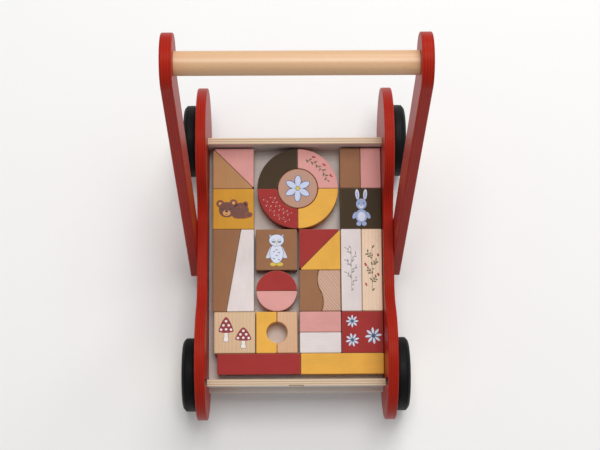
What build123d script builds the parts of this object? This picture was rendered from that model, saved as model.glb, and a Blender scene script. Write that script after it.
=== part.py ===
from build123d import *
import os
from math import cos, radians, sin, sqrt, tan

os.makedirs("parts", exist_ok=True)

# A wooden push-along baby walker: a tray of building blocks between two rounded side
# panels on four rubber-tyred wheels, with a push bar on two leaning handle bars.
# Millimetres. +Z is up and the walker rolls towards -Y. The origin is on the ground,
# under the middle of the wheelbase.

# ---- blocks
block = 50.0              # side of a square block, which is also one cell of the layout
block_thick = 25.0
block_round = 1.2         # rounding of every block edge
row_gap = 0.35            # between one row of blocks and the next
pair_gap = 0.4            # between the pieces that share a cell
rest_gap = 0.1            # between a block and the tray floor
column_slack = 12.0       # free width across a row of four blocks
column_shares = (0.458, 0.208, 0.217, 0.067)    # of that slack, left of each column
rear_slack = 1.9          # free length behind the blocks
front_slack = 6.05        # free length in front of the blocks
loose_shift = 1.5         # how far the loose block of the fifth row has slid inwards
plank_side_gap = 0.3      # right-hand front plank to the side panel
plank_end_gap = 0.5       # between the two front planks
ring_play = 0.45          # the ring's outside is this much under one cell
disc_play = 0.55          # between the ring's hole and the disc in it
slant_rear = 34.0         # width of the brown trapezoid at its rear end
slant_front = 16.3        # width of the brown trapezoid at its front end
wave_sag = 3.5            # how far the wavy cut swings to each side
wave_end = 1.5            # how far off centre the wavy cut starts and ends
notch_r = 12.5            # round notch shared by two half blocks

# ---- tray
wall_thick = 8.2
wall_height = 40.7        # of the tray walls above the floor
floor_thick = 6.0
floor_ledge = 6.7         # the floor sticks out this far past each end wall
tray_shift = -12.75       # middle of the tray, measured from the middle of the wheelbase
groove_deep = 3.0         # of the grooves in the side panels
groove_play = 0.1         # round a board in its groove
groove_end = 0.2          # between a board's end and the bottom of its groove
groove_stop = 8.0         # wood left above the tall front groove
cord_slot_wide = 18.0     # slot for a pull cord in the front wall
cord_slot_high = 8.0
cord_slot_drop = 9.0      # middle of the slot below the wall's top edge
cord_relief = 1.2         # depth of the recess that runs from the slot up over the edge
front_groove_deep = 6.0   # of the front wall's grooves, which show above the wall
corner_high = 8.0         # the front wall's top corners stop at the panels for this height
board_round = 0.8

# ---- side panels
panel_thick = 12.0
lobe_r = 73.5             # round ends of a side panel
ground_gap = 11.7         # lowest point of a side panel above the ground
waist_top_rise = 7.3      # flat top of the waist above the tray walls
waist_bottom = 44.0       # flat underside of the waist
waist_r = 41.0            # hollow curves between lobe and waist
panel_round = 1.2

# ---- wheels
wheel_r = 45.0
wheel_reach = 17.4        # axle beyond the middle of its lobe
tyre_wide = 18.8
tyre_shoulder = 7.0
tyre_thick = 8.0
disc_thick = 17.0
disc_round = 1.5
hub_recess_r = 13.0
hub_recess_deep = 5.5
axle_r = 4.0
axle_to_floor = 10.3      # under the tray floor
bush_wall = 2.0
bush_flange_r = 8.0
bush_proud = 0.3          # the bush stands out of the disc's recess
washer_r = 10.0
washer_thick = 1.2
cap_r = 8.0
cap_high = 4.0
cap_round = 1.8
cap_floor = 1.5           # cap metal beyond the end of the axle

# ---- handle
handle_top = 484.6
handle_lean = 17.3        # degrees back from upright
bar_thick = 12.0
bar_wide = 39.5
bar_head_r = 29.5
bar_curve_r = 30.0        # hollow curve behind the head
bar_front_y = -26.3       # front edge of the bar at its lower end
bar_corner_r = 4.0
bar_round = 1.5
push_r = 12.0

# ---- fasteners
fit = 0.05                # radial clearance of a fixed shaft, and of the wheel's running fit
seat = 0.05               # radial clearance of a tyre or bush on its seat
side_play = 0.3           # wheel endwise play to each washer
bolt_r = 3.0
bolt_head_r = 5.5
bolt_head_high = 3.3
bolt_reach = 8.0          # bolt inside its insert
hex_key = 4.0             # across flats
hex_deep = 2.0
insert_wall = 1.5
insert_long = 9.0
bolt_low_z = 54.0
bolt_high_z = 96.0
wall_screw_r = 1.75
wall_screw_head_r = 3.5
wall_screw_long = 32.0
wall_screw_inset = 12.0   # from the top and bottom edges of a wall
push_screw_r = 2.0
push_screw_head_r = 4.2
push_screw_long = 38.0
recess_deep = 1.2         # cross recess in the flat screw heads
recess_wide = 0.9
recess_reach = 1.15       # of the recess across, as a share of the head's radius

# ---- worked out from the sizes above
tray_half = (4 * block + column_slack) / 2
tray_long = 5.5 * block + 5 * row_gap + rear_slack + front_slack
rear_face = tray_shift + tray_long / 2
front_face = tray_shift - tray_long / 2
rear_wall_y = rear_face + wall_thick / 2
front_wall_y = front_face - wall_thick / 2
floor_low = wheel_r + axle_r + axle_to_floor
floor_top = floor_low + floor_thick
wall_top = floor_top + wall_height
board_half = tray_half + groove_deep - groove_end
front_half = tray_half + front_groove_deep - groove_end
lobe_y = rear_face
lobe_z = ground_gap + lobe_r
waist_top = wall_top + waist_top_rise
panel_out = tray_half + panel_thick
bar_out = panel_out + bar_thick
axle_y = lobe_y + wheel_reach
tyre_in = panel_out + washer_thick + side_play
disc_in = tyre_in + (tyre_wide - disc_thick) / 2
disc_out = disc_in + disc_thick
recess_x = disc_out - hub_recess_deep
bush_out = recess_x + bush_proud
outer_washer_in = bush_out + side_play
cap_in = outer_washer_in + washer_thick
axle_half = cap_in + cap_high - cap_floor
lean = radians(handle_lean)
push_z = handle_top - bar_head_r
bar_run = (push_z + bar_head_r * sin(lean) - waist_bottom) / cos(lean)
push_y = bar_front_y + bar_head_r * cos(lean) + bar_run * sin(lean)
block_z = floor_top + rest_gap
side_names = {1: "right", -1: "left"}


def save(node, shape):
    """Write one node's solids to its own STEP file."""
    export_step(shape, f"parts/{node}.step")


def to_side(shape, side):
    """Keep a shape built on the +X side there, or mirror it to the -X side."""
    if side > 0:
        return shape
    return mirror(shape, about=Plane.YZ)


def round_bar(x0, x1, radius):
    """A cylinder along X, from x0 to x1."""
    bar = Cylinder(radius, x1 - x0, align=(Align.CENTER, Align.CENTER, Align.MIN))
    return Pos(x0, 0, 0) * Rot(0, 90, 0) * bar


def tube(x0, x1, outer, inner):
    """A tube along X, from x0 to x1."""
    return round_bar(x0, x1, outer) - round_bar(x0, x1, inner)


def rounded_rim(solid, radius, rounding):
    """Round the circular edges of one radius on a turned solid."""
    rim = solid.edges().filter_by(GeomType.CIRCLE)
    rim = rim.filter_by(lambda edge: abs(edge.radius - radius) < 0.01)
    return fillet(rim, rounding)


def cross_recess(x_face, head):
    """The cross-shaped drive recess in a screw's flat head."""
    slot = Box(2 * recess_deep, recess_reach * head, recess_wide)
    return Pos(x_face, 0, 0) * (slot + Rot(90, 0, 0) * slot)


def countersunk_screw(x_face, length, shank, head, ease=0.0):
    """A screw along X, its flat head flush at x_face; with some ease it is the screw's hole."""
    depth = head - shank
    cone = Cone(head + ease, shank + ease, depth, align=(Align.CENTER, Align.CENTER, Align.MIN))
    cone = Pos(x_face, 0, 0) * Rot(0, -90, 0) * cone
    screw = cone + round_bar(x_face - length, x_face - depth, shank + ease)
    if ease:
        return screw
    return screw - cross_recess(x_face, head)


def upright_plate(outline, x0, x1, rounding):
    """Extrude a (Y, Z) outline along X from x0 to x1 and round its rims."""
    plate = Pos(x0, 0, 0) * extrude(Plane.YZ * outline, x1 - x0)
    return fillet(plate.faces().filter_by(Axis.X).edges(), rounding)


# ---------------------------------------------------------------- side panels and tray

def waist_curve(flat_z, side):
    """The hollow curve from the waist's flat to the lobe: its start, its end on the lobe."""
    reach = lobe_r + waist_r
    rise = flat_z + side * waist_r - lobe_z
    across = sqrt(reach ** 2 - rise ** 2)
    share = lobe_r / reach
    start = (lobe_y - across, flat_z)
    end = (lobe_y - across * share, lobe_z + rise * share)
    return start, end


def panel_outline():
    """Two round lobes joined to a flat waist by hollow curves, in (Y, Z)."""
    top_start, top_end = waist_curve(waist_top, 1)
    low_start, low_end = waist_curve(waist_bottom, -1)
    half = Curve() + [
        Line((0, waist_top), top_start),
        TangentArc(top_start, top_end, tangent=(1, 0)),
        ThreePointArc(top_end, (lobe_y + lobe_r, lobe_z), low_end),
        TangentArc(low_start, low_end, tangent=(1, 0)),
        Line((0, waist_bottom), low_start),
    ]
    return make_face(half + mirror(half, about=Plane.YZ))


def lobe_rim(y):
    """Height of a lobe's rim at one Y."""
    return lobe_z + sqrt(lobe_r ** 2 - (abs(y) - lobe_y) ** 2)


def groove(y0, y1, z0, z1, deep=groove_deep):
    """A stopped groove in the inner face of the right side panel."""
    size = (2 * deep, y1 - y0 + 2 * groove_play, z1 - z0 + 2 * groove_play)
    return Pos(tray_half, (y0 + y1) / 2, (z0 + z1) / 2) * Box(*size)


def wall_grooves():
    """The grooves for the floor, the rear wall and the front wall; the last runs on up."""
    half = wall_thick / 2
    floor_ends = (front_wall_y - half - floor_ledge, rear_wall_y + half + floor_ledge)
    front_top = lobe_rim(front_wall_y) - groove_stop
    return [
        groove(*floor_ends, floor_low, floor_top),
        groove(rear_wall_y - half, rear_wall_y + half, floor_top, wall_top),
        groove(front_wall_y - half, front_wall_y + half, floor_top, front_top, front_groove_deep),
    ]


def wall_screws(ease=0.0):
    """The four countersunk screws through one side panel into the ends of the walls."""
    screw = countersunk_screw(panel_out, wall_screw_long, wall_screw_r, wall_screw_head_r, ease)
    heights = (floor_top + wall_screw_inset, wall_top - wall_screw_inset)
    return [Pos(0, y, z) * screw for y in (rear_wall_y, front_wall_y) for z in heights]


def bolt_places():
    """Where the two bolts of a handle bar sit: on its middle line, at two heights."""
    half = bar_wide / 2 / cos(lean)
    heights = (bolt_low_z, bolt_high_z)
    return [Pos(0, bar_front_y + half + (z - waist_bottom) * tan(lean), z) for z in heights]


def side_panel():
    """The right side panel with its grooves, axle holes, screw holes and insert holes."""
    panel = upright_plate(panel_outline(), tray_half, panel_out, panel_round)
    panel -= wall_grooves()
    axle_hole = round_bar(tray_half - 1, panel_out + 1, axle_r + fit)
    panel -= [Pos(0, y, wheel_r) * axle_hole for y in (-axle_y, axle_y)]
    panel -= wall_screws(fit)
    insert_r = bolt_r + fit + insert_wall
    insert_hole = round_bar(panel_out - insert_long, panel_out + 1, insert_r + fit)
    return panel - [place * insert_hole for place in bolt_places()]


def end_wall(y, half):
    """A tray end wall, let into both side panels, with its screw holes."""
    board = Box(2 * half, wall_thick, wall_height)
    board = fillet(board.faces().sort_by(Axis.Z)[-1].edges().filter_by(Axis.X), board_round)
    wall = Pos(0, y, (floor_top + wall_top) / 2) * board
    for side in side_names:
        wall -= [to_side(screw, side) for screw in wall_screws(fit)]
    return wall


def front_wall():
    """The front wall: a slot and recess for a pull cord, and cut-back top corners."""
    slot = extrude(Plane.XZ * SlotOverall(cord_slot_wide, cord_slot_high), wall_thick, both=True)
    recess = Box(cord_slot_wide, 2 * cord_relief, 2 * cord_slot_drop)
    corner = Box(2 * front_groove_deep, 2 * wall_thick, 2 * corner_high)
    wall = end_wall(front_wall_y, front_half)
    wall -= Pos(0, front_wall_y, wall_top - cord_slot_drop) * slot
    wall -= Pos(0, front_wall_y - wall_thick / 2, wall_top) * recess
    middle = tray_half + front_groove_deep
    return wall - [Pos(side * middle, front_wall_y, wall_top) * corner for side in side_names]


def tray_floor():
    """The floor board, let into both side panels and standing out past both walls."""
    long = tray_long + 2 * wall_thick + 2 * floor_ledge
    board = Box(2 * board_half, long, floor_thick)
    board = fillet(board.edges().filter_by(Axis.X), board_round)
    return Pos(0, tray_shift, (floor_low + floor_top) / 2) * board


def make_tray():
    """Write the side panels, the tray boards and the screws that hold them."""
    for side, name in side_names.items():
        save(f"{name}_side_panel", to_side(side_panel(), side))
    save("tray_floor", tray_floor())
    save("rear_wall", end_wall(rear_wall_y, board_half))
    save("front_wall", front_wall())
    screws = [to_side(screw, side) for side in side_names for screw in wall_screws()]
    save("wall_screws", Compound(children=screws))


# ---------------------------------------------------------------- handle

def bar_outline():
    """A straight bar with a round head, drawn upright with the head's centre at 0, 0."""
    rear = bar_wide - bar_head_r
    reach = bar_head_r + bar_curve_r
    across = rear + bar_curve_r
    drop = sqrt(reach ** 2 - across ** 2)
    share = bar_head_r / reach
    touch = (across * share, -drop * share)
    foot = -(bar_run + bar_wide)
    return make_face(Curve() + [
        Line((rear, foot), (-bar_head_r, foot)),
        Line((-bar_head_r, foot), (-bar_head_r, 0)),
        ThreePointArc((-bar_head_r, 0), (0, bar_head_r), touch),
        TangentArc((rear, -drop), touch, tangent=(0, 1)),
        Line((rear, -drop), (rear, foot)),
    ])


def handle_bar():
    """The right handle bar, leaning back, its foot cut level, with its three holes."""
    outline = Pos(push_y, push_z) * Rot(0, 0, -handle_lean) * bar_outline()
    bar = Pos(panel_out, 0, 0) * extrude(Plane.YZ * outline, bar_thick)
    below = Box(4 * bar_thick, 2 * handle_top, 2 * handle_top)
    bar -= Pos(bar_out, 0, waist_bottom - handle_top) * below
    corners = bar.edges().filter_by(Axis.X).group_by(Axis.Z)[0]
    bar = fillet(corners, bar_corner_r)
    bar = fillet(bar.faces().filter_by(Axis.X).edges(), bar_round)
    bolt_hole = round_bar(panel_out - 1, bar_out + 1, bolt_r + fit)
    bar -= [place * bolt_hole for place in bolt_places()]
    return bar - push_screw(fit)


def push_screw(ease=0.0):
    """The screw through the right bar's head into the end of the push bar."""
    screw = countersunk_screw(bar_out, push_screw_long, push_screw_r, push_screw_head_r, ease)
    return Pos(0, push_y, push_z) * screw


def push_bar():
    """The round push bar between the two handle bars."""
    bar = Pos(0, push_y, push_z) * round_bar(-panel_out, panel_out, push_r)
    return bar - [to_side(push_screw(fit), side) for side in side_names]


def handle_bolt():
    """A button-head bolt with a hexagon socket, seated on the right bar's outer face."""
    head = round_bar(bar_out, bar_out + bolt_head_high, bolt_head_r)
    rim = head.edges().filter_by(GeomType.CIRCLE).sort_by(Axis.X)[-1]
    head = fillet(rim, bolt_head_high * 0.6)
    socket = RegularPolygon(hex_key / 2, 6, major_radius=False)
    socket = Pos(bar_out + bolt_head_high - hex_deep, 0, 0) * extrude(Plane.YZ * socket, hex_deep * 2)
    shank = round_bar(panel_out - bolt_reach, bar_out, bolt_r)
    return head + shank - socket


def handle_insert():
    """A threaded insert let into the right side panel."""
    inner = bolt_r + fit
    return tube(panel_out - insert_long, panel_out, inner + insert_wall, inner)


def on_both_sides(piece, places):
    """Copies of a +X piece at several places, on the right and on the left."""
    return [to_side(place * piece, side) for side in side_names for place in places]


def make_handle():
    """Write the handle bars, the push bar and their fasteners."""
    for side, name in side_names.items():
        save(f"{name}_handle_bar", to_side(handle_bar(), side))
    save("push_bar", push_bar())
    save("push_bar_screws", Compound(children=[to_side(push_screw(), side) for side in side_names]))
    save("handle_bolts", Compound(children=on_both_sides(handle_bolt(), bolt_places())))
    save("handle_inserts", Compound(children=on_both_sides(handle_insert(), bolt_places())))


# ---------------------------------------------------------------- wheels

def tyre():
    """A rubber tyre with round shoulders, on the right side, axle on the X axis."""
    band = tube(tyre_in, tyre_in + tyre_wide, wheel_r, wheel_r - tyre_thick)
    return rounded_rim(band, wheel_r, tyre_shoulder)


def wheel_disc():
    """A turned wooden disc with a recess for the axle's cap."""
    radius = wheel_r - tyre_thick - seat
    disc = rounded_rim(round_bar(disc_in, disc_out, radius), radius, disc_round)
    disc -= round_bar(recess_x, disc_out + 1, hub_recess_r)
    return disc - round_bar(disc_in - 1, disc_out, axle_r + fit + bush_wall + seat)


def wheel_bush():
    """A flanged plain bush that turns on the axle."""
    bore = axle_r + fit
    sleeve = tube(tyre_in, bush_out, bore + bush_wall, bore)
    return sleeve + tube(tyre_in, disc_in, bush_flange_r, bore)


def axle_cap():
    """A domed cap pressed on the axle's end."""
    cap = round_bar(cap_in, cap_in + cap_high, cap_r)
    rim = cap.edges().filter_by(GeomType.CIRCLE).sort_by(Axis.X)[-1]
    return fillet(rim, cap_round) - round_bar(cap_in - 1, axle_half + fit, axle_r + fit)


def make_wheels():
    """Write the four wheels, the two axles, the washers and the caps."""
    places = {"front": Pos(0, -axle_y, wheel_r), "rear": Pos(0, axle_y, wheel_r)}
    pieces = {"disc": wheel_disc(), "tyre": tyre(), "bush": wheel_bush()}
    for end, place in places.items():
        save(f"{end}_axle", place * round_bar(-axle_half, axle_half, axle_r))
        for side, name in side_names.items():
            for piece, shape in pieces.items():
                save(f"{end}_{name}_wheel_{piece}", to_side(place * shape, side))
    bore = axle_r + fit
    washers = [tube(x, x + washer_thick, washer_r, bore) for x in (panel_out, outer_washer_in)]
    grouped = [solid for washer in washers for solid in on_both_sides(washer, places.values())]
    save("axle_washers", Compound(children=grouped))
    save("axle_caps", Compound(children=on_both_sides(axle_cap(), places.values())))


# ---------------------------------------------------------------- blocks

def column_left(column):
    """Left edge of a column of blocks; the free width is shared out between the columns."""
    return -tray_half + sum(column_shares[:column + 1]) * column_slack + column * block


def row_rear(row):
    """Rear edge of a row of blocks."""
    return rear_face - rear_slack - row * (block + row_gap)


def cell_middle(column, row):
    """Middle of a cell."""
    return column_left(column) + block / 2, row_rear(row) - block / 2


def rectangle(left, rear, wide, long):
    """A rectangle from its rear left corner."""
    return Pos(left + wide / 2, rear - long / 2) * Rectangle(wide, long)


def save_block(node, outline):
    """Extrude a block's outline, round every edge and write it."""
    solid = extrude(Pos(0, 0, block_z) * outline, block_thick)
    save(node, fillet(solid.edges(), block_round))


def make_square(node, column, row, shift=0.0):
    """A square block that fills its cell."""
    save_block(node, rectangle(column_left(column) + shift, row_rear(row), block, block))


def make_bricks(column, row, first, second, cells_long=1, crosswise=False):
    """Two half-width bricks or planks side by side, or one behind the other."""
    left, rear = column_left(column), row_rear(row)
    long = cells_long * block + (cells_long - 1) * row_gap
    half = (block - pair_gap) / 2
    if crosswise:
        save_block(first, rectangle(left, rear, block, half))
        save_block(second, rectangle(left, rear - half - pair_gap, block, half))
    else:
        save_block(first, rectangle(left, rear, half, long))
        save_block(second, rectangle(left + half + pair_gap, rear, half, long))


def make_triangles(column, row, front_node, rear_node, front_side):
    """Two right-angled triangles; front_side is where the front one has its right angle."""
    x, y = cell_middle(column, row)
    half = block / 2
    leg = block - pair_gap / sqrt(2)
    for node, sx, sy in ((front_node, front_side, -1), (rear_node, -front_side, 1)):
        corner = (x + sx * half, y + sy * half)
        along = (corner[0] - sx * leg, corner[1])
        up = (corner[0], corner[1] - sy * leg)
        save_block(node, make_face(Polyline(corner, along, up, close=True)))


def make_trapezoids(column, row, left_node, right_node):
    """Two trapezoids, two cells long, split by a slanting cut."""
    left, rear = column_left(column), row_rear(row)
    front = rear - 2 * block - row_gap
    right = left + block
    outlines = {
        left_node: [(left, rear), (left + slant_rear, rear), (left + slant_front, front), (left, front)],
        right_node: [
            (left + slant_rear + pair_gap, rear),
            (right, rear),
            (right, front),
            (left + slant_front + pair_gap, front),
        ],
    }
    for node, corners in outlines.items():
        save_block(node, make_face(Polyline(*corners, close=True)))


def make_waves(column, row, left_node, right_node):
    """Two half blocks split by an S-shaped cut of two equal arcs."""
    x, y = cell_middle(column, row)
    half = block / 2
    for node, side in ((left_node, -1), (right_node, 1)):
        cut = x + side * pair_gap / 2
        rear, front = (cut - wave_end, y + half), (cut + wave_end, y - half)
        outline = Curve() + [
            ThreePointArc(rear, (cut - wave_sag, y + half / 2), (cut, y)),
            ThreePointArc((cut, y), (cut + wave_sag, y - half / 2), front),
            Polyline(front, (x + side * half, y - half), (x + side * half, y + half), rear),
        ]
        save_block(node, make_face(outline))


def make_notched(column, row, left_node, right_node):
    """Two half blocks with a round notch each, which make one round hole."""
    x, y = cell_middle(column, row)
    wide = (block - pair_gap) / 2
    left = rectangle(x - block / 2, y + block / 2, wide, block)
    right = rectangle(x + pair_gap / 2, y + block / 2, wide, block)
    hole = Pos(x, y) * Circle(notch_r)
    save_block(left_node, left - hole)
    save_block(right_node, right - hole)


def make_half_discs(column, row, rear_node, front_node):
    """Two half discs, flat sides together."""
    x, y = cell_middle(column, row)
    whole = Pos(x, y) * Circle((block - pair_gap) / 2)
    save_block(rear_node, whole & Pos(x, y + (block + pair_gap) / 2) * Rectangle(block, block))
    save_block(front_node, whole & Pos(x, y - (block + pair_gap) / 2) * Rectangle(block, block))


def make_ring(column, row, nodes, disc_node):
    """Four ring quarters over two by two cells, and the disc in their middle."""
    x = (column_left(column) + column_left(column + 1) + block) / 2
    y = row_rear(row) - block - row_gap / 2
    ring = Pos(x, y) * (Circle(block - ring_play) - Circle(block / 2))
    for (sx, sy), node in nodes.items():
        shift = (block + pair_gap) / 2
        save_block(node, ring & Pos(x + sx * shift, y + sy * shift) * Rectangle(block, block))
    save_block(disc_node, Pos(x, y) * Circle(block / 2 - disc_play))


def make_front_planks(left_node, right_node):
    """The two planks of the short front row, pushed against the right side panel."""
    rear = row_rear(5)
    right_plank = tray_half - plank_side_gap - 2 * block
    left_plank = right_plank - plank_end_gap - 2 * block
    save_block(left_node, rectangle(left_plank, rear, 2 * block, block / 2))
    save_block(right_node, rectangle(right_plank, rear, 2 * block, block / 2))


def make_blocks():
    """Write the thirty blocks; columns count from the left and rows from the rear."""
    make_triangles(0, 0, "block_tan_triangle", "block_pink_triangle", front_side=-1)
    make_ring(1, 0, {
        (-1, 1): "block_dark_ring_quarter",
        (1, 1): "block_pink_ring_quarter",
        (-1, -1): "block_red_ring_quarter",
        (1, -1): "block_yellow_ring_quarter",
    }, "block_daisy_disc")
    make_bricks(3, 0, "block_brown_brick", "block_pink_brick")
    make_square("block_bear_square", 0, 1)
    make_square("block_rabbit_square", 3, 1)
    make_trapezoids(0, 2, "block_brown_trapezoid", "block_white_trapezoid")
    make_square("block_owl_square", 1, 2)
    make_triangles(2, 2, "block_yellow_triangle", "block_red_triangle", front_side=1)
    make_bricks(3, 2, "block_white_plank", "block_berry_plank", cells_long=2)
    make_half_discs(1, 3, "block_red_half_disc", "block_pink_half_disc")
    make_waves(2, 3, "block_brown_wave", "block_natural_wave")
    make_square("block_mushroom_square", 0, 4, loose_shift)
    make_notched(1, 4, "block_yellow_notched", "block_natural_notched")
    make_bricks(2, 4, "block_pink_cross_brick", "block_white_cross_brick", crosswise=True)
    make_square("block_flower_square", 3, 4)
    make_front_planks("block_red_front_plank", "block_yellow_front_plank")


make_tray()
make_handle()
make_wheels()
make_blocks()
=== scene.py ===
import sys

import logging
import math
from dataclasses import dataclass, field
from enum import Enum

import bpy
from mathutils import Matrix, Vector


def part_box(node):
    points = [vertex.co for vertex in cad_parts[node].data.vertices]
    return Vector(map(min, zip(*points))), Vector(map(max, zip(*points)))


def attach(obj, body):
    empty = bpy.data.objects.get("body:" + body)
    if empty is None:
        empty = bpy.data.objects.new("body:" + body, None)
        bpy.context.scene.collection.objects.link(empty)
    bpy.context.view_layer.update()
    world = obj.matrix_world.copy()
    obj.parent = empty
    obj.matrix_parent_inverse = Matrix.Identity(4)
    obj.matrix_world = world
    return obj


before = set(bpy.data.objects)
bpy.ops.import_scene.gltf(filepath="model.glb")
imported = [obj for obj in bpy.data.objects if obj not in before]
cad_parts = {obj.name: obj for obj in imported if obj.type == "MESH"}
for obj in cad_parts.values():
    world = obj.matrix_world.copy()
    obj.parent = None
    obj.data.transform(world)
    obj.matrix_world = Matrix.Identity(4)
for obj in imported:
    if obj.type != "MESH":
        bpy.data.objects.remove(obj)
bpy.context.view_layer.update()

# A wooden block trolley for a child learning to walk. The frame's bodies and nodes come from
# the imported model. This script dresses them in lacquer, paint, bare wood, rubber and steel,
# and adds the prints on the blocks and the fine ribs on the tyres. Blender units are metres;
# sizes written in millimetres are turned with MM.

LOG = logging.getLogger("walker")
MM = 0.001
SEAM = 0.001 * MM  # corners nearer than this are one corner
Point = tuple[float, float]
Point3 = tuple[float, float, float]
Socket = bpy.types.NodeSocket
Node = bpy.types.Node
Tree = bpy.types.NodeTree
Material = bpy.types.Material
Object = bpy.types.Object
Source = Socket | Node  # a node stands for its first output
Reading = Source | tuple[Source, Point, Point]
MIDDLE: Point = (0.3, 0.7)  # the range that most of a noise pattern lies in


# ------------------------------------------------------------------ small tools

def linear(hex_colour: str) -> tuple[float, float, float, float]:
    """Turn an sRGB hex colour into linear RGBA.

    Args:
        hex_colour: a colour such as "#C0392B".

    Returns:
        Red, green, blue and an alpha of one.
    """
    channels = [int(hex_colour[i:i + 2], 16) / 255 for i in (1, 3, 5)]
    return (*(c / 12.92 if c <= 0.04045 else ((c + 0.055) / 1.055) ** 2.4 for c in channels), 1.0)


def per_metre(size_mm: float) -> float:
    """A noise scale whose features are about size_mm across."""
    return 1 / (size_mm * MM)


def band_scale(period_mm: float) -> float:
    """A wave texture scale whose bands repeat every period_mm."""
    return 2 * math.pi / (20 * period_mm * MM)


def feed(tree: Tree, node: Node, inputs: dict) -> None:
    """Set or link a node's inputs.

    Args:
        tree: the node's tree.
        node: the node.
        inputs: socket name or number to a constant, a source to link, or a list of sources.
    """
    for key, value in inputs.items():
        for source in value if isinstance(value, list) else [value]:
            if isinstance(source, Node):
                source = source.outputs[0]
            if isinstance(source, Socket):
                tree.links.new(source, node.inputs[key])
            else:
                node.inputs[key].default_value = source


def add_node(tree: Tree, kind: str, inputs: dict | None = None, **settings) -> Node:
    """Add a node with its settings, constants and links.

    Args:
        tree: the shader or geometry tree.
        kind: the node's type name.
        inputs: what feed takes.
        **settings: properties set on the node itself.

    Returns:
        The new node.
    """
    made = tree.nodes.new(kind)
    for key, value in settings.items():
        setattr(made, key, value)
    feed(tree, made, inputs or {})
    return made


def dress(material: Material, *nodes: str) -> None:
    """Give each CAD node one material on all its faces."""
    for node in nodes:
        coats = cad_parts[node].data.materials
        coats.clear()
        coats.append(material)
        LOG.info("dressed %s in %s", node, material.name)


def place_in_scene(name: str, data: bpy.types.ID) -> Object:
    """Make an object of some data and put it in the scene."""
    made = bpy.data.objects.new(name, data)
    bpy.context.scene.collection.objects.link(made)
    return made


def top_middle(node: str) -> Vector:
    """The middle of a CAD node's top face, from its box."""
    low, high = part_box(node)
    return Vector(((low.x + high.x) / 2, (low.y + high.y) / 2, high.z))


# ------------------------------------------------------------------ finishes

class Grain(Enum):
    """Which way wood grain runs, as the turn that brings that direction onto X."""

    ACROSS = (0.0, 0.0, 0.0)
    LENGTHWISE = (0.0, 0.0, -math.pi / 2)
    SLANTING = (0.0, 0.0, -math.radians(128))


class Layers(Enum):
    """Which axis the layers of a sheet of ply are stacked along."""

    Y = "Y"
    Z = "Z"


@dataclass(frozen=True)
class Finish:
    """What every finish has: a name, a ground colour and the steps they share."""

    name: str
    colour: str = "#FFFFFF"

    def begin(self) -> tuple[Material, Tree, Node, Socket, Socket]:
        """Start the material.

        Returns:
            The material, its tree, its principled shader, object coordinates and the normal.
        """
        material = bpy.data.materials.new(self.name)
        material.use_nodes = True
        tree = material.node_tree
        places = add_node(tree, "ShaderNodeTexCoord").outputs
        return material, tree, tree.nodes["Principled BSDF"], places["Object"], places["Normal"]

    def lay_grain(self, tree: Tree, place: Socket, grain: Grain, shift: float,
                  run: float) -> list[Node]:
        """Turn the coordinates onto the grain and draw them out along it.

        Args:
            tree: the shader tree.
            place: object coordinates.
            grain: which way the grain runs.
            shift: how far the pattern is moved, in metres.
            run: how much slower the pattern changes along the grain.

        Returns:
            The turned coordinates and the drawn-out ones.
        """
        turned = add_node(tree, "ShaderNodeMapping", {
            "Vector": place, "Location": (shift, shift * 0.7, shift * 0.4),
            "Rotation": grain.value})
        return [turned, add_node(tree, "ShaderNodeMapping", {
            "Vector": turned, "Scale": (run, 1.0, 1.0)})]

    def squareness(self, tree: Tree, normal: Socket, axis: str) -> Node:
        """How squarely a face looks along an axis, either way."""
        facing = add_node(tree, "ShaderNodeSeparateXYZ", {"Vector": normal})
        return add_node(tree, "ShaderNodeMath", {0: facing.outputs[axis]}, operation="ABSOLUTE")

    def read(self, tree: Tree, *readings: Reading) -> Source:
        """Multiply patterns together.

        Args:
            tree: the shader tree.
            *readings: each a pattern as it is, or a pattern with the range of it that counts
                and the range that becomes.

        Returns:
            The product.
        """
        product = None
        for reading in readings:
            if isinstance(reading, tuple):
                pattern, span, result = reading
                reading = add_node(tree, "ShaderNodeMapRange", {
                    "Value": pattern, "From Min": span[0], "From Max": span[1],
                    "To Min": result[0], "To Max": result[1]})
            product = reading if product is None else add_node(
                tree, "ShaderNodeMath", {0: product, 1: reading}, operation="MULTIPLY")
        return product

    def shade(self, tree: Tree, colour: str, *readings: Reading) -> Node:
        """A hex colour, made lighter and darker by any patterns given."""
        brightness = {"Value": self.read(tree, *readings)} if readings else {}
        return add_node(tree, "ShaderNodeHueSaturation", {"Color": linear(colour), **brightness})

    def stain(self, tree: Tree, base: Source, added: str, *readings: Reading) -> Socket:
        """Let a hex colour tell through a base colour where the patterns are strong."""
        return add_node(tree, "ShaderNodeMix", {
            0: self.read(tree, *readings), 6: base, 7: linear(added)}, data_type="RGBA").outputs[2]


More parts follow.
